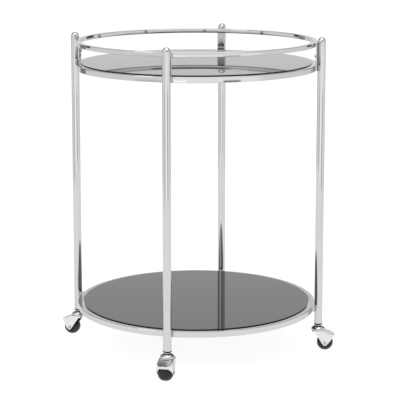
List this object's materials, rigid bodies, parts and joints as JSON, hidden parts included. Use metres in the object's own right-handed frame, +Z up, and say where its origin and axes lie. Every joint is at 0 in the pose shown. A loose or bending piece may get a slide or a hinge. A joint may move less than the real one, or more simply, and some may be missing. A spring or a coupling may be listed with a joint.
{
  "type": "round bar cart",
  "caption": "Round bar cart: black glass shelves in chrome rings between domed posts, a gallery rail round the upper shelf, and swivel casters under the posts.",
  "frame": {"origin": "on the floor under the middle of the cart", "axes": "+Z up; one post stands on each of -Y (front), +X (right), +Y (rear) and -X (left)"},
  "size_m": [0.674, 0.672, 0.744],
  "materials": {
    "chrome": "polished chrome plate",
    "screw_steel": "plated steel screws and rivets",
    "black_glass": "black tempered glass, polished, opaque",
    "silicone": "clear grey silicone pads",
    "black_plastic": "moulded black plastic",
    "tyre_black": "black tread, satin"
  },
  "bodies": {
    "frame": {"post_front": "chrome", "post_cap_front": "chrome", "strap_front": "chrome", "strap_screw_front": "screw_steel", "ring_screw_front": "screw_steel", "caster_insert_front": "black_plastic", "caster_stem_front": "chrome", "post_right": "chrome", "post_cap_right": "chrome", "strap_right": "chrome", "strap_screw_right": "screw_steel", "ring_screw_right": "screw_steel", "caster_insert_right": "black_plastic", "caster_stem_right": "chrome", "post_rear": "chrome", "post_cap_rear": "chrome", "strap_rear": "chrome", "strap_screw_rear": "screw_steel", "ring_screw_rear": "screw_steel", "caster_insert_rear": "black_plastic", "caster_stem_rear": "chrome", "post_left": "chrome", "post_cap_left": "chrome", "strap_left": "chrome", "strap_screw_left": "screw_steel", "ring_screw_left": "screw_steel", "caster_insert_left": "black_plastic", "caster_stem_left": "chrome", "gallery_rail": "chrome", "upper_ring": "chrome", "lower_ring": "chrome", "upper_glass": "black_glass", "upper_pad_1": "silicone", "upper_pad_2": "silicone", "upper_pad_3": "silicone", "upper_pad_4": "silicone", "lower_glass": "black_glass", "lower_pad_1": "silicone", "lower_pad_2": "silicone", "lower_pad_3": "silicone", "lower_pad_4": "silicone"},
    "caster_front": {"fork_front": "chrome", "axle_front": "screw_steel"},
    "wheel_front": {"tyre_front": "tyre_black", "wheel_core_front": "black_plastic"},
    "caster_right": {"fork_right": "chrome", "axle_right": "screw_steel"},
    "wheel_right": {"tyre_right": "tyre_black", "wheel_core_right": "black_plastic"},
    "caster_rear": {"fork_rear": "chrome", "axle_rear": "screw_steel"},
    "wheel_rear": {"tyre_rear": "tyre_black", "wheel_core_rear": "black_plastic"},
    "caster_left": {"fork_left": "chrome", "axle_left": "screw_steel"},
    "wheel_left": {"tyre_left": "tyre_black", "wheel_core_left": "black_plastic"}
  },
  "joints": [
    {"name": "swivel_front", "type": "hinge", "parent": "frame", "child": "caster_front", "pos_m": [0, -0.2965, 0.05], "axis": [0, 0, 1], "continuous": true},
    {"name": "roll_front", "type": "hinge", "parent": "caster_front", "child": "wheel_front", "pos_m": [0, -0.313, 0.019], "axis": [1, 0, 0], "continuous": true},
    {"name": "swivel_right", "type": "hinge", "parent": "frame", "child": "caster_right", "pos_m": [0.2965, 0, 0.05], "axis": [0, 0, 1], "continuous": true},
    {"name": "roll_right", "type": "hinge", "parent": "caster_right", "child": "wheel_right", "pos_m": [0.31284, 0.0023, 0.019], "axis": [-0.1392, 0.9903, 0], "continuous": true},
    {"name": "swivel_rear", "type": "hinge", "parent": "frame", "child": "caster_rear", "pos_m": [0, 0.2965, 0.05], "axis": [0, 0, 1], "continuous": true},
    {"name": "roll_rear", "type": "hinge", "parent": "caster_rear", "child": "wheel_rear", "pos_m": [0, 0.313, 0.019], "axis": [-1, 0, 0], "continuous": true},
    {"name": "swivel_left", "type": "hinge", "parent": "frame", "child": "caster_left", "pos_m": [-0.2965, 0, 0.05], "axis": [0, 0, 1], "continuous": true},
    {"name": "roll_left", "type": "hinge", "parent": "caster_left", "child": "wheel_left", "pos_m": [-0.31284, 0.0023, 0.019], "axis": [-0.1392, -0.9903, 0], "continuous": true}
  ]
}
